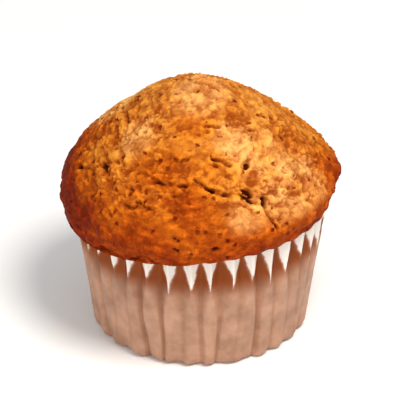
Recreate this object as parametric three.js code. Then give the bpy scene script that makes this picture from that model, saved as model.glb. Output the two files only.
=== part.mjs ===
// A bran muffin in its fluted paper baking cup: two pieces, the muffin and the cup that it was baked in.
// Millimetres, +Z up. The origin is the middle of the cup's base, on the surface that the cup stands on.
import * as THREE from "three";

// The baking cup: a paper disc pleated into a flared wall round a flat base.
const CUP_BASE_RADIUS = 28; // to the outside of the ridges
const CUP_RIM_RADIUS = 33.8;
const CUP_HEIGHT = 35.5;
const FLUTES = 36;
const FLUTE_DEPTH_BASE = 0.9; // ridge to valley; a pleated disc's folds deepen towards its edge
const FLUTE_DEPTH_RIM = 2.9;
const PAPER_RADIAL = 0.45; // the wall measured along a radius, which crosses the steep folds at a slant
const PAPER_FLOOR = 0.35;
const CORNER_RADIUS = 1.6; // where the base turns up into the wall
const WALL_HEIGHTS = [12, 24]; // rings that cup and crumb share, so that their slanting flanks stay parallel

// The muffin: a fluted foot in the cup, and a crown that rose over the rim, hung down outside it and set.
const PAPER_GAP = 0.45; // between the crumb and the paper
const CROWN_RADIUS = 36.5;
const CROWN_WIDEST = 41; // height of the widest ring
const CROWN_TOP = 70;
const SHOULDER = { radius: 32, height: 48 }; // where the rounded edge runs into the dome
const SHOULDER_SLOPE = THREE.MathUtils.degToRad(53); // of the dome there, from the level
const SHOULDER_HOLD = { below: 3, above: 6 }; // how far the outline keeps that slope to each side
const TOP_HOLD = 10.5; // how far the outline keeps level from the top
const LIP_BOTTOM = 35.6; // height of the lip's lower edge, halfway between its highest and lowest
const LIP_THICKNESS = 1.7; // from the lower edge out to the widest ring
const LIP_RISE = 4.2; // the lip hangs low on one side and stands clear of the rim on the other
const LIP_RISE_TOWARDS = THREE.MathUtils.degToRad(10);
const CRUMB_OVER_RIM_RISE = 0.45; // share of that rise where the crumb crosses the rim, on the high side
const LIP_RISE_FADES_AT = 46; // above this height the dome is even all round
const CRUMB_FILLS_TO = 14; // below this height the batter filled the flutes
const CRUMB_CLEARS_AT = 31; // above this height it left them empty
const LOBES = [
  // the crown's outline isn't quite round: how many lobes, how far out, and which way the first one points
  { count: 1, out: 0.006, towards: THREE.MathUtils.degToRad(170) },
  { count: 2, out: 0.004, towards: THREE.MathUtils.degToRad(15) },
  { count: 3, out: 0.009, towards: THREE.MathUtils.degToRad(250) },
  { count: 5, out: 0.006, towards: THREE.MathUtils.degToRad(20) },
];

const POINTS_PER_FLUTE = 4;
const SEGMENTS = FLUTES * POINTS_PER_FLUTE;
const HALF_STEP = Math.PI / SEGMENTS;

const share = (height) => THREE.MathUtils.clamp(height / CUP_HEIGHT, 0, 1);
const ridgeRadius = (height) => THREE.MathUtils.lerp(CUP_BASE_RADIUS, CUP_RIM_RADIUS, share(height));
const fluteDepth = (height) => THREE.MathUtils.lerp(FLUTE_DEPTH_BASE, FLUTE_DEPTH_RIM, share(height));
const valleyRadius = (height) => ridgeRadius(height) - fluteDepth(height);

// 0 along a valley and 1 along a ridge, with straight flanks between them.
function flute(angle) {
  const phase = THREE.MathUtils.euclideanModulo((angle * FLUTES) / (2 * Math.PI), 1);
  const rise = 1 - Math.abs(2 * phase - 1);
  return THREE.MathUtils.clamp(2 * rise - 0.5, 0, 1);
}

// A solid turned about +Z from a profile of (radius, height), then reshaped point by point.
function turned(profile, reshape) {
  const geometry = new THREE.LatheGeometry(profile, SEGMENTS, HALF_STEP);
  geometry.rotateX(Math.PI / 2);
  const position = geometry.getAttribute("position");
  const point = new THREE.Vector3();
  for (let i = 0; i < position.count; i++) {
    point.fromBufferAttribute(position, i);
    reshape(point, Math.atan2(point.y, point.x), Math.hypot(point.x, point.y));
    position.setXYZ(i, point.x, point.y, point.z);
  }
  geometry.computeVertexNormals();
  return geometry;
}

function setRadius(point, angle, radius) {
  point.x = radius * Math.cos(angle);
  point.y = radius * Math.sin(angle);
}

// The cup's profile follows the valleys, outside and then inside; the flutes are pushed out from it.
function bakingCup() {
  const profile = new THREE.Path();
  const floorRadius = valleyRadius(0) - CORNER_RADIUS;
  profile.moveTo(0, 0);
  profile.lineTo(floorRadius, 0);
  profile.lineTo(valleyRadius(0), CORNER_RADIUS);
  const upWall = [...WALL_HEIGHTS, CUP_HEIGHT];
  for (const height of upWall) profile.lineTo(valleyRadius(height), height);
  for (const height of upWall.toReversed()) profile.lineTo(valleyRadius(height) - PAPER_RADIAL, height);
  profile.lineTo(valleyRadius(0) - PAPER_RADIAL, CORNER_RADIUS + PAPER_FLOOR);
  profile.lineTo(floorRadius - PAPER_RADIAL, PAPER_FLOOR);
  profile.lineTo(0, PAPER_FLOOR);
  return turned(profile.getPoints(1), (point, angle, radius) => {
    const onWall = radius > floorRadius + PAPER_RADIAL;
    if (onWall) setRadius(point, angle, radius + fluteDepth(point.z) * flute(angle));
  });
}

// How far the batter filled the flutes at a height, from 1 down to 0.
const filled = (height) => 1 - THREE.MathUtils.smoothstep(height, CRUMB_FILLS_TO, CRUMB_CLEARS_AT);

// How far the crown's edge stands higher or lower than the mean, in this direction and at this height.
function lipRise(angle, height) {
  const fade = 1 - THREE.MathUtils.smoothstep(height, LIP_BOTTOM, LIP_RISE_FADES_AT);
  return LIP_RISE * fade * Math.cos(angle - LIP_RISE_TOWARDS);
}

function lobed(angle) {
  return LOBES.reduce((sum, lobe) => sum + lobe.out * Math.cos(lobe.count * (angle - lobe.towards)), 0);
}

function muffin() {
  const side = (height) => valleyRadius(height) - PAPER_RADIAL - PAPER_GAP;
  const floor = PAPER_FLOOR + PAPER_GAP;
  const overRim = CUP_HEIGHT + PAPER_GAP;
  const pastRim = CUP_RIM_RADIUS + PAPER_GAP;
  const footRadius = side(0) - CORNER_RADIUS;
  const lipEdgeRadius = CROWN_RADIUS - LIP_THICKNESS;
  const at = (radius, height) => new THREE.Vector2(radius, height);

  const foot = [at(0, floor), at(footRadius, floor)];
  const wallHeights = [CORNER_RADIUS + floor, ...WALL_HEIGHTS, CRUMB_CLEARS_AT];
  const wall = wallHeights.map((height) => at(side(height), height));
  const underLip = [at(side(CUP_HEIGHT), overRim), at(pastRim, overRim)];
  const lip = new THREE.EllipseCurve(
    lipEdgeRadius,
    CROWN_WIDEST,
    LIP_THICKNESS,
    CROWN_WIDEST - LIP_BOTTOM,
    -Math.PI / 2,
    0,
  ).getPoints(4);
  const shoulder = at(SHOULDER.radius, SHOULDER.height);
  const alongSlope = (distance) =>
    at(-Math.cos(SHOULDER_SLOPE), Math.sin(SHOULDER_SLOPE)).multiplyScalar(distance).add(shoulder);
  const roundedEdge = new THREE.CubicBezierCurve(
    at(CROWN_RADIUS, CROWN_WIDEST),
    at(CROWN_RADIUS, CROWN_WIDEST + SHOULDER_HOLD.below),
    alongSlope(-SHOULDER_HOLD.below),
    shoulder,
  ).getPoints(2);
  const dome = new THREE.CubicBezierCurve(
    shoulder,
    alongSlope(SHOULDER_HOLD.above),
    at(TOP_HOLD, CROWN_TOP),
    at(0, CROWN_TOP),
  ).getSpacedPoints(9);
  const profile = [...foot, ...wall, ...underLip, ...lip, ...roundedEdge.slice(1), ...dome.slice(1)];

  return turned(profile, (point, angle, radius) => {
    const height = point.z;
    if (height < CUP_HEIGHT && radius < pastRim) {
      const onWall = radius > footRadius + PAPER_GAP;
      if (onWall) setRadius(point, angle, radius + fluteDepth(height) * flute(angle) * filled(height));
      return;
    }
    const rise = lipRise(angle, height);
    const overRimOnly = height < CROWN_WIDEST && radius < (pastRim + lipEdgeRadius) / 2;
    point.z += overRimOnly ? CRUMB_OVER_RIM_RISE * Math.max(0, rise) : rise;
    const unevenness = height > CROWN_WIDEST ? 1 : THREE.MathUtils.smoothstep(radius, pastRim, CROWN_RADIUS);
    setRadius(point, angle, radius * (1 + unevenness * lobed(angle)));
  });
}

const crust = new THREE.MeshStandardMaterial({ color: 0xc0702c, roughness: 0.8, metalness: 0 });
const greaseproofPaper = new THREE.MeshStandardMaterial({ color: 0xd9b79d, roughness: 0.6, metalness: 0 });

function piece(name, geometry, material) {
  const mesh = new THREE.Mesh(geometry, material);
  mesh.name = name;
  return mesh;
}

const branMuffin = new THREE.Group();
branMuffin.add(piece("baking_cup", bakingCup(), greaseproofPaper));
branMuffin.add(piece("muffin", muffin(), crust));

export default branMuffin;
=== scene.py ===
import math

import bmesh
import bpy
import numpy as np
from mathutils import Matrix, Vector, kdtree, noise
from mathutils.bvhtree import BVHTree


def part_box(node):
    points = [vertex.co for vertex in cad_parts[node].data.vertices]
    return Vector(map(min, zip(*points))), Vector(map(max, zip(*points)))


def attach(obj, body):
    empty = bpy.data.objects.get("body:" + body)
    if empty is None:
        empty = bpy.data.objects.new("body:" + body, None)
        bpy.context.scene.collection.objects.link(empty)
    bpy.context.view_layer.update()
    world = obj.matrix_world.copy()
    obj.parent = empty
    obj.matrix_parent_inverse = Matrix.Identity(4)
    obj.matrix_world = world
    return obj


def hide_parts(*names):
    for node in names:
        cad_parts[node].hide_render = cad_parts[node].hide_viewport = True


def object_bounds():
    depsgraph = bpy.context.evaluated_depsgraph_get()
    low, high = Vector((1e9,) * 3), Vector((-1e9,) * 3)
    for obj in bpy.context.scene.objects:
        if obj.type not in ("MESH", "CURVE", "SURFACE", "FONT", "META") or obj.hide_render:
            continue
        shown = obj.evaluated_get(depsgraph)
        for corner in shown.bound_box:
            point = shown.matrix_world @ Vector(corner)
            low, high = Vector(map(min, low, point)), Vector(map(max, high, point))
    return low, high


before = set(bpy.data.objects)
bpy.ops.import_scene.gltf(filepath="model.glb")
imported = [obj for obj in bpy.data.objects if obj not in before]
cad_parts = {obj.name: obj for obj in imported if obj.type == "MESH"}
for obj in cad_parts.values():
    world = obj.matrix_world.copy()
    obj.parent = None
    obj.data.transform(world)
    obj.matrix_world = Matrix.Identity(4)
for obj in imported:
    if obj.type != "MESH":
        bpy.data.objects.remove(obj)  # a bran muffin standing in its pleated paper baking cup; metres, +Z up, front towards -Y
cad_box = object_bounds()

MM = 0.001  # shapes are worked out in millimetres and turned to metres last
MERGE_WITHIN = 0.001 * MM
CRUMB_SEED = 3  # without a seed noise_vector takes its offsets from the clock, and no two runs agree

# The paper cup, to the outside of its pleats.
cup_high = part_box("baking_cup")[1]
RIM_HEIGHT = cup_high.z / MM
RIM_RADIUS = cup_high.x / MM
BASE_RADIUS = 28.0
FLOOR_RINGS = (0.0, 8.0, 16.0, 21.0)
CORNER_RADIUS = 1.6  # where the base turns up into the wall
CORNER_EASE = 0.9  # how much wider than high that turn is
PAPER = 0.14  # a little thicker than the real paper, which is under 0.1
PLEATS = 36
PLEAT_DEPTH = (0.8, 2.9)  # ridge to crease, at the base and at the rim
BASE_SWELLS = 26  # soft waves round the base, where the batter pressed the pleats out
RIM_TILT = 0.75  # how far the rim rises on the side where the lip stands high
RIM_DIP = 0.45  # how far it dips at most from pleat to pleat
WALL_RINGS = 56
POINTS_PER_PLEAT = 14

# The muffin.
LIP_HEIGHT = 42.0  # about the height of the crown's widest part
LIP_HIGH_TOWARDS = math.radians(10)
CRUST_MESH = 0.30  # size of the even mesh that carries the crust's grain
FOOT_THINNED_TO = 0.62  # share of all its triangles left once the hidden foot is thinned
FOOT_DRAWN_IN = 0.08
CRUST_PROUD = 0.1  # how far the relief may stand out of the blank; the rest is cut into it
CRUST_TRIANGLES = 192000

# Places on the crown are seen from its heart: (degrees round from +X, degrees above the level).
HEART = Vector((0, 0, 38))
CROWN_REACH = 34  # about how far the crust is from the heart
MARK_SPACING = 0.5
# Where the crown split as it rose: the places along each split, its depth and half-width.
SPLITS = [
    ([(-92, 33), (-80, 26), (-68, 25)], 1.7, 0.6),
    ([(-68, 25), (-60, 18)], 2.0, 0.65),
    ([(-60, 18), (-56, 6)], 1.0, 0.4),
    ([(-175, 12), (-155, 25), (-145, 32)], 0.8, 0.6),
    ([(-118, 30), (-98, 30)], 1.3, 0.6),
    ([(-128, 17), (-112, 18)], 0.9, 0.5),
    ([(-110, 40), (-98, 43)], 0.9, 0.5),
    ([(-62, 36), (-48, 45)], 1.6, 0.65),
    ([(-82, 43), (-68, 40)], 1.0, 0.6),
    ([(-100, 56), (-84, 59)], 1.2, 0.6),
    ([(-84, 62), (-70, 61)], 1.1, 0.6),
    ([(28, 20), (50, 27), (74, 36)], 1.6, 0.8),
    ([(100, 22), (126, 24), (140, 30)], 1.4, 0.7),
    ([(160, 44), (195, 49)], 1.0, 0.6),
]
# Where the crust heaved up: the places along each fold, how high it stands and its half-width.
FOLDS = [
    ([(-150, 34), (-138, 43), (-120, 50), (-96, 50)], 1.5, 2.0),
    ([(-92, 24), (-78, 19), (-66, 16)], 0.7, 2.2),
    ([(60, 40), (90, 48), (120, 46)], 0.9, 2.6),
    ([(0, 7), (3, 8)], 0.8, 1.4),
]
# Holes where a bubble broke: the place, the depth and the half-width.
HOLES = [
    ((-66, 26), 2.4, 1.0),
    ((-60, 19), 2.2, 0.95),
    ((-80, 40), 0.9, 0.6),
    ((-60, 36), 1.7, 0.6),
    ((-153, 26), 2.0, 0.95),
    ((-172, 15), 1.9, 0.95),
    ((-127, 23), 0.9, 0.6),
    ((-120, 20), 0.9, 0.7),
    ((-132, 11), 0.8, 0.6),
    ((-100, 8), 1.0, 0.5),
    ((-100, 2), 1.3, 0.6),
    ((-84, 2), 1.3, 0.7),
    ((-23, 40), 1.3, 0.75),
    ((-55, 15), 0.8, 0.45),
    ((-78, 17), 0.8, 0.45),
    ((40, 46), 1.8, 0.9),
    ((75, 24), 1.6, 0.85),
    ((120, 36), 2.0, 1.0),
    ((150, 14), 1.4, 0.8),
    ((10, 20), 1.2, 0.7),
]
HOLE_STRETCH = 2.2  # degrees that the crust drew a hole out by, for each millimetre of its half-width
# Where the crust stayed pale: the place, and how far round it in degrees.
PALE = [
    ((-38, 17), 26),
    ((-68, 14), 11),
    ((-48, 42), 18),
    ((-62, 52), 12),
    ((-90, 84), 18),
    ((-145, 48), 13),
    ((95, 30), 24),
    ((150, 40), 20),
]
# Where it browned more, in the same way.
BROWN = [
    ((-98, 34), 24),
    ((-93, 20), 16),
    ((-120, 36), 18),
    ((-96, 62), 14),
    ((-18, 32), 23),
    ((-2, 10), 18),
    ((60, 50), 22),
    ((170, 30), 20),
]

# The sizes of the surfaces' patterns.
CRUST_MOTTLE = 1.6  # about the size of the crumb's grains
CRUMB_PORE = 0.9
DARK_FLAKE_SPACING = 1.9  # a flake comes out about 1 wide, as coarse as real bran gets; finer wouldn't show
PALE_FLAKE_SPACING = 1.6
FLAKE_CRUMPLE = 0.9
PAPER_FIBRE = 2.4  # about the length of a paper fibre; its real width of 0.02 is too fine to show
SOAKED_BLOTCH = 6
PAPER_TOOTH = 1.1  # real paper's tooth is about 0.1, and this is drawn as coarse as it needs to show


def srgb(code):
    """A hex colour, as it looks, turned to the linear colour that a shader takes."""
    channels = [int(code[i : i + 2], 16) / 255 for i in (1, 3, 5)]
    return [c / 12.92 if c <= 0.04045 else ((c + 0.055) / 1.055) ** 2.4 for c in channels] + [1.0]


def add_node(tree, kind, settings=None, inputs=None, stops=()):
    """Adds a shader node.

    An input takes a value, or the socket that it is linked from. A ramp's stops are (place, hex colour).
    """
    made = tree.nodes.new("ShaderNode" + kind)
    for name, value in (settings or {}).items():
        setattr(made, name, value)
    for name, value in (inputs or {}).items():
        if isinstance(value, bpy.types.NodeSocket):
            tree.links.new(value, made.inputs[name])
        else:
            made.inputs[name].default_value = value
    if stops:
        ramp = made.color_ramp.elements
        ramp.remove(ramp[1])
        ramp[0].position = stops[0][0]
        ramp[0].color = srgb(stops[0][1])
        for place, code in stops[1:]:
            ramp.new(place).color = srgb(code)
    return made


def smoothstep(low, high, value):
    t = np.clip((value - low) / (high - low), 0.0, 1.0)
    return t * t * (3 - 2 * t)


def fractal(points, wavelength, octaves, offset):
    """Smooth noise from about -1 to 1, at points in millimetres. Each use has an offset of its own."""
    shift = Vector((offset, 1.7 * offset, -offset))
    scale = 1 / wavelength
    return np.array([noise.fractal(p * scale + shift, 1.0, 2.0, octaves) for p in points])


def coordinates(mesh):
    co = np.empty(len(mesh.vertices) * 3)
    mesh.vertices.foreach_get("co", co)
    return co.reshape(-1, 3)


def vertex_normals(mesh):
    normals = np.empty(len(mesh.vertices) * 3)
    mesh.vertex_normals.foreach_get("vector", normals)
    return normals.reshape(-1, 3)


def give_attribute(mesh, name, values):
    layer = mesh.attributes.new(name, "FLOAT", "POINT")
    layer.data.foreach_set("value", np.asarray(values, np.float32))


def shade_smooth(mesh):
    mesh.polygons.foreach_set("use_smooth", [True] * len(mesh.polygons))


def add_object(name, mesh):
    made = bpy.data.objects.new(name, mesh)
    bpy.context.scene.collection.objects.link(made)
    return made


def with_modifiers_applied(name, source):
    """Replaces an object by one under a new name, whose mesh has the modifiers in it."""
    graph = bpy.context.evaluated_depsgraph_get()
    mesh = bpy.data.meshes.new_from_object(source.evaluated_get(graph))
    bpy.data.objects.remove(source)
    return add_object(name, mesh)


# ---------------------------------------------------------------- the muffin's shape


def crown_blank():
    """The CAD muffin rounded and re-meshed evenly, with the foot that the cup hides left coarser."""
    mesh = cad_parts["muffin"].data.copy()
    shape = bmesh.new()
    shape.from_mesh(mesh)
    bmesh.ops.remove_doubles(shape, verts=shape.verts, dist=MERGE_WITHIN)
    shape.to_mesh(mesh)
    shape.free()
    mesh.materials.clear()
    blank = add_object("muffin_blank", mesh)
    rounding = blank.modifiers.new("rounding", "SUBSURF")
    rounding.levels = rounding.render_levels = 2
    even = blank.modifiers.new("even", "REMESH")
    even.mode = "VOXEL"
    even.voxel_size = CRUST_MESH * MM
    blank = with_modifiers_applied("muffin_even", blank)

    co = coordinates(blank.data) / MM
    radius = np.hypot(co[:, 0], co[:, 1])
    in_cup = (co[:, 2] < RIM_HEIGHT - 4) & (radius < RIM_RADIUS - 0.4)
    hidden = blank.vertex_groups.new(name="hidden")
    hidden.add(np.nonzero(in_cup)[0].tolist(), 1.0, "REPLACE")
    thin = blank.modifiers.new("thin", "DECIMATE")
    thin.vertex_group = "hidden"
    thin.ratio = FOOT_THINNED_TO
    return with_modifiers_applied("muffin_blank", blank)


def draw_in_foot(co):
    """Draws the hidden foot in, clear of the paper's deepest creases."""
    inside = (np.hypot(co[:, 0], co[:, 1]) < RIM_RADIUS) & (co[:, 2] < RIM_HEIGHT)
    drawn = 1 - FOOT_DRAWN_IN * smoothstep(32, 22, co[:, 2]) * inside
    co[:, :2] *= drawn[:, None]


def tuck_under(co, normals):
    """Brings the crumb under the lip down onto the paper's rim, most where the lip stands high."""
    radius = np.hypot(co[:, 0], co[:, 1])
    angle = np.arctan2(co[:, 1], co[:, 0])
    over_rim = smoothstep(36.2, 33.8, radius) * smoothstep(27.0, 29.0, radius)
    facing_down = smoothstep(0.3, -0.2, normals[:, 2])
    near_rim = (co[:, 2] > RIM_HEIGHT - 1) & (co[:, 2] < LIP_HEIGHT)
    high_side = np.clip(np.cos(angle - LIP_HIGH_TOWARDS), 0, 1)
    front_right = smoothstep(-0.35, 0.2, np.cos(angle - math.radians(-40)))
    on_ridge = 0.5 - 0.5 * np.cos(angle * PLEATS)
    down = 1.25 * high_side + 0.55 * on_ridge * front_right
    co[:, 2] -= down * over_rim * facing_down * near_rim


def towards(place):
    """The way from the crown's heart to a place on it."""
    turn, rise = math.radians(place[0]), math.radians(place[1])
    return Vector((math.cos(turn) * math.cos(rise), math.sin(turn) * math.cos(rise), math.sin(rise)))


def along(route, surface):
    """Closely spaced points on the crown that wander along a route."""
    ways = [towards(route[0])]
    for start, end in zip(route, route[1:]):
        steps = max(1, round(towards(start).angle(towards(end)) * CROWN_REACH / MARK_SPACING))
        ways += [towards(start).slerp(towards(end), i / steps) for i in range(1, steps + 1)]
    marks = []
    for way in ways:
        spot = way * CROWN_REACH
        wandered = spot + noise.noise_vector(spot / 4.0) * 0.9 + noise.noise_vector(spot / 1.6) * 0.4
        marks.append(surface.ray_cast(HEART, wandered.normalized())[0])
    return marks


def nearest(points, marks):
    """How far each point is from the nearest mark."""
    tree = kdtree.KDTree(len(marks))
    for i, mark in enumerate(marks):
        tree.insert(mark, i)
    tree.balance()
    return np.array([tree.find(p)[2] for p in points])


def grains(points, size, offset):
    """Grains of about this size: how far each point is from its grain's edge, and the grain's number."""
    shift = Vector((offset, offset / 3, -offset))
    found = [noise.voronoi(p / size + shift) for p in points]
    edge = np.array([distance[1] - distance[0] for distance, _ in found])
    number = np.array([noise.cell(spots[0] * 7.3 + shift) for _, spots in found])
    return edge, number


def crown_lumps(points, z, surface):
    """The crown's lumps, the uneven lower edge of its lip, and its folds."""
    lumps = 0.80 * fractal(points, 19, 2, 3.1) + 0.40 * fractal(points, 8.0, 2, 9.4)
    lumps += 0.75 * fractal(points, 4.5, 2, 15.1) * smoothstep(42.5, 39.0, z)
    for route, rise, half_width in FOLDS:
        distance = nearest(points, along(route, surface))
        lumps += rise * np.exp(-((distance / half_width) ** 2))
    return lumps


def crumb(bent, drawn_out, coarse, ruckling):
    """Grains, ruckles and popped bubbles: how far they stand out, how hollow they are, and their tone."""
    edge, number = grains(drawn_out, 1.9, 1.3)
    small_edge, small_number = grains(bent, 1.15, 6.1)
    big = (smoothstep(0.0, 0.8, edge) - 0.5) * (0.8 + 0.4 * number)
    little = (smoothstep(0.0, 0.7, small_edge) - 0.5) * (0.7 + 0.6 * small_number)
    ruckled = fractal(drawn_out, 3.0, 3, 7.7) * ruckling
    grain = coarse * (0.40 * big + 0.38 * little + 0.52 * ruckled + 0.20 * number)
    bubble_edge, bubble = grains(bent, 1.35, 4.4)
    popped = (bubble > 0.95 - 0.11 * coarse) * smoothstep(0.05, 0.6, bubble_edge)
    tone = 0.52 + 0.12 * number + 0.10 * small_number + 0.22 * fractal(drawn_out, 3.5, 3, 2.8)
    return grain - 0.30 * popped * coarse, 0.26 * popped * coarse, tone


def open_splits(grain, points, ragged, surface):
    """Curls the crust up along each split, and says how torn, how deep and how hollow it is there."""
    broken = np.clip(0.6 + 1.0 * fractal(points, 3.0, 2, 6.6), 0.12, 1.25)
    torn, opened, hollow = np.zeros((3, len(points)))
    for route, depth, half_width in SPLITS:
        distance = nearest(points, along(route, surface))
        width = half_width * np.clip(1 + 0.9 * ragged, 0.3, 2.2)
        inside = 1 - smoothstep(0.2 * width, 1.1 * width + 0.2, distance)
        torn = np.maximum(torn, smoothstep(6.0, 0.5, distance) * min(1, depth / 1.6))
        opened = np.maximum(opened, inside * depth * broken)
        hollow = np.maximum(hollow, inside * np.clip(broken * depth / 1.5, 0, 1))
        from_curl = (distance - 2.0 * half_width) / (half_width + 0.3)
        grain = grain + 0.30 * min(depth, 1.5) * np.exp(-(from_curl**2))
    return grain, torn, opened, hollow


def break_bubbles(opened, hollow, points, ragged, surface):
    """Adds the holes to what is open and hollow already."""
    for place, depth, half_width in HOLES:
        drawn = HOLE_STRETCH * half_width
        other_end = (place[0] + drawn, place[1] + drawn * noise.cell(towards(place) * 9))
        distance = nearest(points, along([place, other_end], surface))
        width = half_width * np.clip(1 + 0.9 * ragged, 0.35, 1.9)
        inside = 1 - smoothstep(0.25 * width, 1.1 * width + 0.15, distance)
        opened = np.maximum(opened, inside * depth)
        hollow = np.maximum(hollow, inside * min(1, depth / 1.5))
    return opened, hollow


def relief(points, surface):
    """How far the crust stands out of the blank in millimetres, how hollow it is, and each grain's tone, with
    painted highlight on raised grain and painted shade in the low places.
    """
    z = np.array([p.z for p in points])
    turn = np.degrees([math.atan2(p.y, p.x) for p in points])
    front_left = 0.5 + 0.5 * np.cos(np.radians(turn + 130))

    # The crust is smoothest where it caramelised, low on the front left.
    caramelised = smoothstep(50, 42, z) * (0.45 + 0.55 * front_left)
    coarse = np.clip(0.78 + 0.50 * fractal(points, 13, 2, 5.2) - 0.55 * caramelised, 0.26, 1.3)

    # The swelling crown bent its grains and drew the larger ones out sideways.
    bent = [p + noise.noise_vector(p / 1.7) * 0.55 + noise.noise_vector(p / 0.8) * 0.2 for p in points]
    drawn_out = [Vector((p.x, p.y, 2.0 * p.z)) for p in bent]
    ruckling = 1 + 0.5 * front_left * smoothstep(62, 54, z)
    grain, popped, tone = crumb(bent, drawn_out, coarse, ruckling)

    # Splits and holes have ragged sides, and the crust is torn into crags near a split.
    ragged = fractal(points, 1.7, 4, 2.2)
    grain, torn, opened, hollow = open_splits(grain, points, ragged, surface)
    opened, hollow = break_bubbles(opened, np.maximum(hollow, popped), points, ragged, surface)
    crags = 0.60 * torn * (np.abs(fractal(bent, 2.4, 3, 11.3)) * 2 - 0.6)

    fine = grain + crags
    height = crown_lumps(points, z, surface) + grain + crags - opened
    # Low places between the grains are marked hollow too, so that the shader paints shade in them.
    hollow = np.maximum(hollow, 0.34 * smoothstep(-0.12, -0.55, fine))
    # Tone rises with the relief: raised grain gets painted highlight and low places painted shade, over each
    # grain's own tone.
    return height, np.clip(hollow, 0, 1), np.clip(tone + 0.6 * fine, 0, 1)


def degrees_from(place, points):
    return np.degrees([(p - HEART).angle(towards(place)) for p in points])


def pale_patches(points, z):
    """1 where the crust stayed pale, fading out round each patch and towards the lip."""
    pale = np.zeros(len(points))
    for place, reach in PALE:
        pale = np.maximum(pale, 1 - smoothstep(0.35 * reach, 1.15 * reach, degrees_from(place, points)))
    return np.clip(pale * (0.8 + 0.8 * fractal(points, 6, 3, 12.7)), 0, 1) * smoothstep(41.5, 46.5, z)


def oven_browning(points, co):
    """From 0 to 1: most at the lip and above all on its left, and more in some patches. The dark band at the
    left edge is partly real browning and partly painted shade.
    """
    z = co[:, 2]
    turn = np.degrees(np.arctan2(co[:, 1], co[:, 0]))
    left = 0.5 + 0.5 * np.cos(np.radians(turn + 165))
    edge_height = LIP_HEIGHT - 3 + 3 * left
    browning = 1 - smoothstep(edge_height - 4, edge_height + 16, z)
    browning = browning * (0.57 + 0.08 * left) + 0.20
    browning += 0.14 * (1 - smoothstep(41, 46, z)) * (1 - left)
    wandering = 0.22 * fractal(points, 11, 3, 8.3)
    # A dark band round the left edge: partly browning, partly painted shade on the side turned from the key
    # light.
    burnt_and_shaded = smoothstep(0.74, 1.03, np.cos(np.radians(turn - 186)) + 0.8 * wandering)
    burnt_and_shaded *= 1 - smoothstep(42, 54, z - 20 * wandering)
    browning += 0.38 * burnt_and_shaded
    for place, reach in BROWN:
        browning += 0.28 * (1 - smoothstep(0.2 * reach, reach, degrees_from(place, points)))
    browning += 0.13 * fractal(points, 15, 2, 4.4) + 0.12 * fractal(points, 5, 2, 2.8)
    return np.clip(browning, 0, 1)


def bake_muffin():
    """Gives the blank its crust, and marks on the mesh what the crust's colour follows."""
    muffin = crown_blank()
    mesh = muffin.data
    co = coordinates(mesh) / MM
    draw_in_foot(co)
    tuck_under(co, vertex_normals(mesh))
    mesh.vertices.foreach_set("co", (co * MM).ravel())
    mesh.update()
    normals = vertex_normals(mesh)
    points = [Vector(c) for c in co]
    surface = BVHTree.FromPolygons(points, [p.vertices for p in mesh.polygons])

    # The relief fades out under the lip, where the crumb lies on the paper.
    radius = np.hypot(co[:, 0], co[:, 1])
    clear = np.maximum(co[:, 2] - (RIM_HEIGHT + 1.2), radius - (RIM_RADIUS + 0.4))
    exposed = smoothstep(0.0, 1.4, clear)
    seen = np.nonzero(exposed)[0]
    height, hollow, tone = np.zeros((3, len(points)))
    height[seen], hollow[seen], tone[seen] = relief([points[i] for i in seen], surface)
    nearly_the_highest = np.percentile(height[exposed > 0.9], 93)
    height = np.minimum((height - nearly_the_highest) * exposed, CRUST_PROUD)
    baked_co = (co + normals * height[:, None]) * MM
    mesh.vertices.foreach_set("co", baked_co.ravel())

    pale = pale_patches(points, co[:, 2])
    give_attribute(mesh, "pale", pale)
    give_attribute(mesh, "browning", oven_browning(points, co))
    # hollow marks the splits, holes and low places where the shader paints shade.
    give_attribute(mesh, "hollow", hollow * exposed)
    # tone carries painted highlight on raised grain and painted shade low down, with each grain's own tone.
    give_attribute(mesh, "tone", tone + 0.08 * pale)
    thin = muffin.modifiers.new("thin", "DECIMATE")
    thin.ratio = CRUST_TRIANGLES / sum(len(p.vertices) - 2 for p in mesh.polygons)
    muffin = with_modifiers_applied("bran_muffin", muffin)
    shade_smooth(muffin.data)
    muffin.data.materials.append(baked_bran_crust())
    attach(muffin, "root")
    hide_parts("muffin")


# ---------------------------------------------------------------- the crust's finish


def bran_flakes(tree, place, spacing, share_bare):
    """Where flakes of bran lie in the crust: 1 on a flake, 0 elsewhere."""
    crumpled = add_node(tree, "TexNoise", None, {"Vector": place, "Scale": 2.2 / (spacing * MM), "Detail": 2})
    shifted = add_node(
        tree,
        "VectorMath",
        {"operation": "MULTIPLY_ADD"},
        {0: crumpled.outputs["Color"], 1: (FLAKE_CRUMPLE * MM,) * 3, 2: place},
    )
    cells = add_node(
        tree,
        "TexVoronoi",
        {"feature": "F1", "distance": "CHEBYCHEV"},
        {"Vector": shifted.outputs["Vector"], "Scale": 1 / (spacing * MM)},
    )
    flake = add_node(
        tree,
        "MapRange",
        None,
        {
            "Value": cells.outputs["Distance"],
            "From Min": 0.18,
            "From Max": 0.38,
            "To Min": 1.0,
            "To Max": 0.0,
        },
    )
    number = add_node(tree, "SeparateColor", None, {"Color": cells.outputs["Color"]})
    chosen = add_node(tree, "Math", {"operation": "GREATER_THAN"}, {0: number.outputs["Red"], 1: share_bare})
    lying = add_node(
        tree, "Math", {"operation": "MULTIPLY"}, {0: flake.outputs["Result"], 1: chosen.outputs["Value"]}
    )
    return lying.outputs["Value"]


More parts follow.
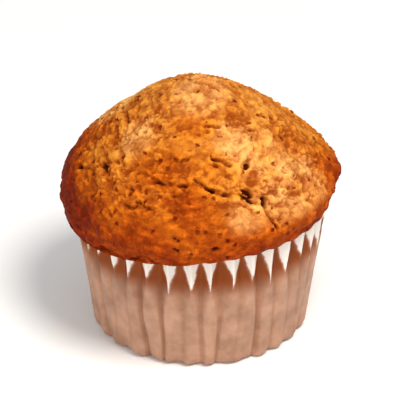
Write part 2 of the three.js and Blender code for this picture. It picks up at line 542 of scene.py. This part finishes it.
def baked_bran_crust():
    """Baked bran batter, risen and dried in the oven.

    Its open pores make it matt and all but without shine, so its specular level is far below a solid's. It is
    brownest at the lip, where it is a little smoother too, and its left edge is painted darker, partly as
    painted shade. Splits, holes and the low places between grains are painted dark as shade, and raised grain
    is painted lighter as highlight, over each grain's own tone. The flakes of bran in the crust are some
    darker than it and some paler.
    """
    material = bpy.data.materials.new("baked_bran_crust")
    material.use_nodes = True
    tree = material.node_tree
    shader = tree.nodes["Principled BSDF"]
    place = add_node(tree, "TexCoord").outputs["Object"]
    browning, pale, hollow, tone = (
        add_node(tree, "Attribute", {"attribute_name": name}).outputs["Fac"]
        for name in ("browning", "pale", "hollow", "tone")
    )
    mix = {"data_type": "RGBA", "blend_type": "MIX"}
    multiply = {"data_type": "RGBA", "blend_type": "MULTIPLY"}
    soft_light = {"data_type": "RGBA", "blend_type": "SOFT_LIGHT"}

    browns = [(0.0, "#d2883a"), (0.3, "#c47022"), (0.55, "#b55910"), (0.8, "#a04206"), (1.0, "#7a2204")]
    crust = add_node(tree, "ValToRGB", None, {"Fac": browning}, browns).outputs["Color"]
    crust = add_node(tree, "Mix", mix, {0: pale, 6: crust, 7: srgb("#dd9a56")}).outputs[2]

    # Each grain is lighter or darker than the next, and mottled. As tone follows the relief, raised grain is
    # also painted lighter as highlight and low places darker as shade.
    mottle = add_node(
        tree,
        "TexNoise",
        None,
        {"Vector": place, "Scale": 1 / (CRUST_MOTTLE * MM), "Detail": 4, "Roughness": 0.7},
    )
    lightness = add_node(
        tree, "Math", {"operation": "MULTIPLY_ADD"}, {0: mottle.outputs["Fac"], 1: 1.1, 2: tone}
    ).outputs["Value"]
    darker = add_node(
        tree,
        "MapRange",
        None,
        {"Value": lightness, "From Min": 0.60, "From Max": 1.08, "To Min": 0.85, "To Max": 0.0},
    ).outputs["Result"]
    lighter = add_node(
        tree,
        "MapRange",
        None,
        {"Value": lightness, "From Min": 1.05, "From Max": 1.45, "To Min": 0.0, "To Max": 1.0},
    ).outputs["Result"]
    crust = add_node(tree, "Mix", multiply, {0: darker, 6: crust, 7: srgb("#bb8048")}).outputs[2]
    crust = add_node(tree, "Mix", soft_light, {0: lighter, 6: crust, 7: srgb("#fff4dc")}).outputs[2]

    dark_flakes = bran_flakes(tree, place, DARK_FLAKE_SPACING, 0.84)
    crust = add_node(tree, "Mix", multiply, {0: dark_flakes, 6: crust, 7: srgb("#a06438")}).outputs[2]
    pale_flakes = bran_flakes(tree, place, PALE_FLAKE_SPACING, 0.82)
    crust = add_node(tree, "Mix", soft_light, {0: pale_flakes, 6: crust, 7: srgb("#f2dcc0")}).outputs[2]

    # Splits, holes and low places between grains are painted darker as shade, darkest in the splits.
    hollow_shade_browns = [(0.0, "#a9500f"), (0.35, "#93400c"), (0.8, "#4e1a05")]
    hollow_shade = add_node(tree, "ValToRGB", None, {"Fac": hollow}, hollow_shade_browns).outputs["Color"]
    shade_in_hollows = add_node(
        tree,
        "MapRange",
        None,
        {"Value": hollow, "From Min": 0.0, "From Max": 0.6, "To Min": 0.0, "To Max": 1.0},
    ).outputs["Result"]
    crust = add_node(tree, "Mix", mix, {0: shade_in_hollows, 6: crust, 7: hollow_shade}).outputs[2]
    tree.links.new(crust, shader.inputs["Base Color"])

    pores = add_node(
        tree,
        "TexNoise",
        None,
        {"Vector": place, "Scale": 1 / (CRUMB_PORE * MM), "Detail": 4, "Roughness": 0.65},
    )
    bump = add_node(
        tree, "Bump", None, {"Strength": 0.8, "Distance": 0.38 * MM, "Height": pores.outputs["Fac"]}
    )
    tree.links.new(bump.outputs["Normal"], shader.inputs["Normal"])
    roughness = add_node(
        tree,
        "MapRange",
        None,
        {"Value": browning, "From Min": 0.3, "From Max": 1.0, "To Min": 0.92, "To Max": 0.7},
    )
    tree.links.new(roughness.outputs["Result"], shader.inputs["Roughness"])
    shader.inputs["Specular IOR Level"].default_value = 0.06
    shader.inputs["IOR"].default_value = 1.45
    return material


# ---------------------------------------------------------------- the paper cup's shape


def cup_profile():
    """(radius, height) from the middle of the base to the rim, along the ridges."""
    floor_radius = BASE_RADIUS - CORNER_RADIUS - CORNER_EASE
    profile = [(radius, 0.0) for radius in (*FLOOR_RINGS, floor_radius)]
    for turned in (0.35, 0.7, 1.0):
        angle = turned * math.pi / 2
        across = BASE_RADIUS - floor_radius
        profile.append((floor_radius + across * math.sin(angle), CORNER_RADIUS * (1 - math.cos(angle))))
    for i in range(1, WALL_RINGS + 1):
        height = CORNER_RADIUS + (RIM_HEIGHT - CORNER_RADIUS) * i / WALL_RINGS
        profile.append((BASE_RADIUS + (RIM_RADIUS - BASE_RADIUS) * height / RIM_HEIGHT, height))
    return profile


def plain_cup():
    """The cup before it is pleated: its profile spun round."""
    sheet = bmesh.new()
    line = [sheet.verts.new((radius * MM, 0, height * MM)) for radius, height in cup_profile()]
    edges = [sheet.edges.new(pair) for pair in zip(line, line[1:])]
    bmesh.ops.spin(
        sheet,
        geom=line + edges,
        cent=(0, 0, 0),
        axis=(0, 0, 1),
        angle=2 * math.pi,
        steps=PLEATS * POINTS_PER_PLEAT,
        use_merge=True,
    )
    bmesh.ops.remove_doubles(sheet, verts=sheet.verts, dist=MERGE_WITHIN)
    bmesh.ops.recalc_face_normals(sheet, faces=sheet.faces)
    mesh = bpy.data.meshes.new("pleated_paper_cup")
    sheet.to_mesh(mesh)
    sheet.free()
    return mesh


def fold_pleats(mesh):
    """Folds the wall into its pleats, and marks on the mesh what the paper's colour follows."""
    co = coordinates(mesh) / MM
    angle = np.arctan2(co[:, 1], co[:, 0])
    radius = np.hypot(co[:, 0], co[:, 1])
    height = co[:, 2].copy()
    up = np.clip(height / RIM_HEIGHT, 0, 1)
    on_wall = smoothstep(BASE_RADIUS - 4.5, BASE_RADIUS - 0.4, radius)

    # Creases run up the wall, a little out of line. The batter pressed most of them out lower down.
    round_points = [Vector((20 * math.cos(a), 20 * math.sin(a), h * 0.25)) for a, h in zip(angle, height)]
    lean = 0.38 * fractal(round_points, 7.0, 2, 1.9)
    phase = angle * PLEATS / (2 * math.pi) + lean * (0.25 + 0.75 * (1 - up))
    crease = np.round(phase)
    across = np.abs(phase - crease)
    own_spot = [Vector((0.37 * c + 0.11, 4.3, 1.9)) for c in np.mod(crease, PLEATS)]
    uneven = np.array([noise.cell(p) for p in own_spot])
    pressed = np.array([noise.cell(p * 1.9) for p in own_spot])
    pressed_out = smoothstep(-0.9, 0.05, pressed) * smoothstep(0.85, 0.45, up)
    half_width = 0.17 + 0.33 * smoothstep(0.35, 0.8, up)
    fold = np.clip(1 - across / half_width, 0, 1)
    fold = fold + 0.15 * np.sin(math.pi * fold) * smoothstep(0.5, 0.9, up)
    depth = (PLEAT_DEPTH[0] + (PLEAT_DEPTH[1] - PLEAT_DEPTH[0]) * up) * (1 - 0.14 * np.abs(uneven))
    depth = (depth + 0.3 * smoothstep(0.5, 0.0, up)) * (1 - 0.78 * pressed_out)

    swell = 0.58 * np.cos(BASE_SWELLS * angle + 2.5 * fractal(round_points, 11.0, 1, 7.4)) * (1 - up) ** 3
    eased = 0.35 * fractal(round_points, 9.0, 1, 3.3) * up + swell - 0.50
    new_radius = radius + on_wall * (eased - depth * fold)
    tilt = RIM_TILT * up**3 * np.cos(angle - LIP_HIGH_TOWARDS)
    co[:, 0] = new_radius * np.cos(angle)
    co[:, 1] = new_radius * np.sin(angle)
    co[:, 2] = height + tilt - RIM_DIP * up**8 * np.abs(uneven)
    mesh.vertices.foreach_set("co", (co * MM).ravel())

    # A ridge is 1 and a crease is 0. Fat soaked the creases to the rim, and each ridge to its own height.
    soaked = np.array([noise.cell(p * 3.1) for p in own_spot])
    dry_from = (24.5 + 3.5 * soaked) / RIM_HEIGHT
    softened = 1 - 0.6 * pressed_out
    sharper_above = 0.6 + 0.4 * smoothstep(0.35, 0.7, up)
    give_attribute(mesh, "ridge", np.where(on_wall > 0.5, 2 * across, 0.0))
    give_attribute(mesh, "dry", np.clip((up - dry_from) / (1.03 - dry_from), 0, 1))
    give_attribute(mesh, "up", up)
    # fold darkens the paper in the creases: partly painted shade, partly the crumb showing through.
    give_attribute(mesh, "fold", fold * softened * sharper_above)


def make_cup():
    mesh = plain_cup()
    fold_pleats(mesh)
    shade_smooth(mesh)
    cup = add_object("pleated_paper_cup", mesh)
    thickness = cup.modifiers.new("paper", "SOLIDIFY")
    thickness.thickness = PAPER * MM
    thickness.offset = -1
    cup.data.materials.append(fat_soaked_baking_paper())
    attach(cup, "root")
    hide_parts("baking_cup")


# ---------------------------------------------------------------- the paper's finish


def fat_soaked_baking_paper():
    """Thin white baking paper, rolled smooth.

    It is matt and white where it stayed dry, in a V on each ridge that is widest at the rim. Where fat
    soaked in it is smoother and half clear, so the crumb behind gives it its colour: tan on the wall, and
    brown near the rim, where it lies against the crust. Its creases are painted darker, partly as painted
    shade and partly as the crumb showing through.
    """
    material = bpy.data.materials.new("fat_soaked_baking_paper")
    material.use_nodes = True
    tree = material.node_tree
    shader = tree.nodes["Principled BSDF"]
    place = add_node(tree, "TexCoord").outputs["Object"]
    ridge, dry, up, fold = (
        add_node(tree, "Attribute", {"attribute_name": name}).outputs["Fac"]
        for name in ("ridge", "dry", "up", "fold")
    )
    mix = {"data_type": "RGBA", "blend_type": "MIX"}
    overlay = {"data_type": "RGBA", "blend_type": "OVERLAY"}
    eased = {"interpolation_type": "SMOOTHSTEP"}

    # The edge of the fat wanders along the fibres.
    fibres = add_node(
        tree,
        "TexNoise",
        None,
        {"Vector": place, "Scale": 1 / (PAPER_FIBRE * MM), "Detail": 4, "Roughness": 0.6},
    )
    wander = add_node(
        tree,
        "MapRange",
        None,
        {"Value": fibres.outputs["Fac"], "From Min": 0.3, "From Max": 0.7, "To Min": -0.10, "To Max": 0.10},
    )
    dryness = add_node(tree, "Math", {"operation": "MULTIPLY_ADD"}, {0: dry, 1: 1.3, 2: ridge})
    dryness = add_node(
        tree, "Math", {"operation": "ADD"}, {0: dryness.outputs["Value"], 1: wander.outputs["Result"]}
    ).outputs["Value"]
    still_dry = add_node(
        tree,
        "MapRange",
        eased,
        {"Value": dryness, "From Min": 1.14, "From Max": 1.34, "To Min": 0.0, "To Max": 1.0},
    ).outputs["Result"]
    half_dry = add_node(
        tree,
        "MapRange",
        eased,
        {"Value": dryness, "From Min": 0.95, "From Max": 1.28, "To Min": 0.0, "To Max": 0.28},
    ).outputs["Result"]
    near_rim = add_node(
        tree,
        "MapRange",
        eased,
        {"Value": up, "From Min": 0.61, "From Max": 0.78, "To Min": 0.0, "To Max": 1.0},
    ).outputs["Result"]

    # The creases are painted darker, partly as painted shade and partly as the crumb showing through.
    crease_shaded_tans = [(0.0, "#ae846c"), (0.45, "#a2755b"), (1.0, "#80523a")]
    paper = add_node(tree, "ValToRGB", None, {"Fac": fold}, crease_shaded_tans).outputs["Color"]
    soaking = add_node(
        tree,
        "TexNoise",
        None,
        {"Vector": place, "Scale": 1 / (SOAKED_BLOTCH * MM), "Detail": 4, "Roughness": 0.6},
    )
    greys = [(0.35, "#a8a4a0"), (0.65, "#d0d0d0")]
    blotches = add_node(tree, "ValToRGB", None, {"Fac": soaking.outputs["Fac"]}, greys).outputs["Color"]
    paper = add_node(tree, "Mix", overlay, {0: 0.8, 6: paper, 7: blotches}).outputs[2]
    paper = add_node(tree, "Mix", mix, {0: near_rim, 6: paper, 7: srgb("#863c04")}).outputs[2]
    paper = add_node(tree, "Mix", mix, {0: half_dry, 6: paper, 7: srgb("#cf9f80")}).outputs[2]
    paper = add_node(tree, "Mix", mix, {0: still_dry, 6: paper, 7: srgb("#ece3da")}).outputs[2]
    tree.links.new(paper, shader.inputs["Base Color"])

    roughness = add_node(
        tree,
        "MapRange",
        None,
        {"Value": still_dry, "From Min": 0.0, "From Max": 1.0, "To Min": 0.5, "To Max": 0.85},
    )
    tree.links.new(roughness.outputs["Result"], shader.inputs["Roughness"])
    tooth = add_node(tree, "TexNoise", None, {"Vector": place, "Scale": 1 / (PAPER_TOOTH * MM), "Detail": 3})
    bump = add_node(
        tree, "Bump", None, {"Strength": 0.25, "Distance": 0.06 * MM, "Height": tooth.outputs["Fac"]}
    )
    tree.links.new(bump.outputs["Normal"], shader.inputs["Normal"])
    shader.inputs["IOR"].default_value = 1.47
    shader.inputs["Specular IOR Level"].default_value = 0.22
    return material


# ---------------------------------------------------------------- the studio


def point_at(thing, spot):
    thing.rotation_mode = "QUATERNION"
    thing.rotation_quaternion = (spot - thing.location).to_track_quat("-Z", "Y")


def set_camera():
    """From the front and 30 degrees above the level, and far enough off to flatten the view a little."""
    middle = Vector((0, 0, (cad_box[0].z + cad_box[1].z) / 2 - 1 * MM))
    elevation = math.radians(30)
    distance = 1.5
    width_seen = 0.104
    lens = bpy.data.cameras.new("camera")
    lens.sensor_width = 36
    lens.lens = lens.sensor_width * distance / width_seen
    camera = add_object("camera", lens)
    camera.location = middle + distance * Vector((0, -math.cos(elevation), math.sin(elevation)))
    point_at(camera, middle)
    bpy.context.scene.camera = camera


def add_light(name, place, size, watts, colour):
    """A round soft light that points at the middle of the muffin."""
    lamp = bpy.data.lights.new(name, "AREA")
    lamp.shape = "DISK"
    lamp.size = size
    lamp.energy = watts
    lamp.color = srgb(colour)[:3]
    made = add_object(name, lamp)
    made.location = place
    point_at(made, Vector((0, 0, 0.035)))


def lay_table():
    top = bmesh.new()
    bmesh.ops.create_grid(top, x_segments=1, y_segments=1, size=3.0)
    mesh = bpy.data.meshes.new("table")
    top.to_mesh(mesh)
    top.free()
    table = add_object("table", mesh)
    material = bpy.data.materials.new("matt_white_table")
    material.use_nodes = True
    shader = material.node_tree.nodes["Principled BSDF"]
    shader.inputs["Base Color"].default_value = srgb("#fbfbfa")
    shader.inputs["Roughness"].default_value = 0.9
    table.data.materials.append(material)


def set_studio():
    """A white table, a soft key light from the upper right and a wider fill light from the front left."""
    world = bpy.data.worlds.new("studio")
    world.use_nodes = True
    background = world.node_tree.nodes["Background"]
    background.inputs["Color"].default_value = srgb("#f4f6f8")
    background.inputs["Strength"].default_value = 0.55
    bpy.context.scene.world = world
    bpy.context.scene.view_settings.view_transform = "Standard"
    add_light("key", (0.24, -0.30, 0.76), 0.34, 5.7, "#fffaf3")
    add_light("fill", (-0.26, -0.85, 0.40), 0.60, 2.6, "#fffdfa")
    lay_table()


noise.seed_set(CRUMB_SEED)
set_camera()
set_studio()
bake_muffin()
make_cup()
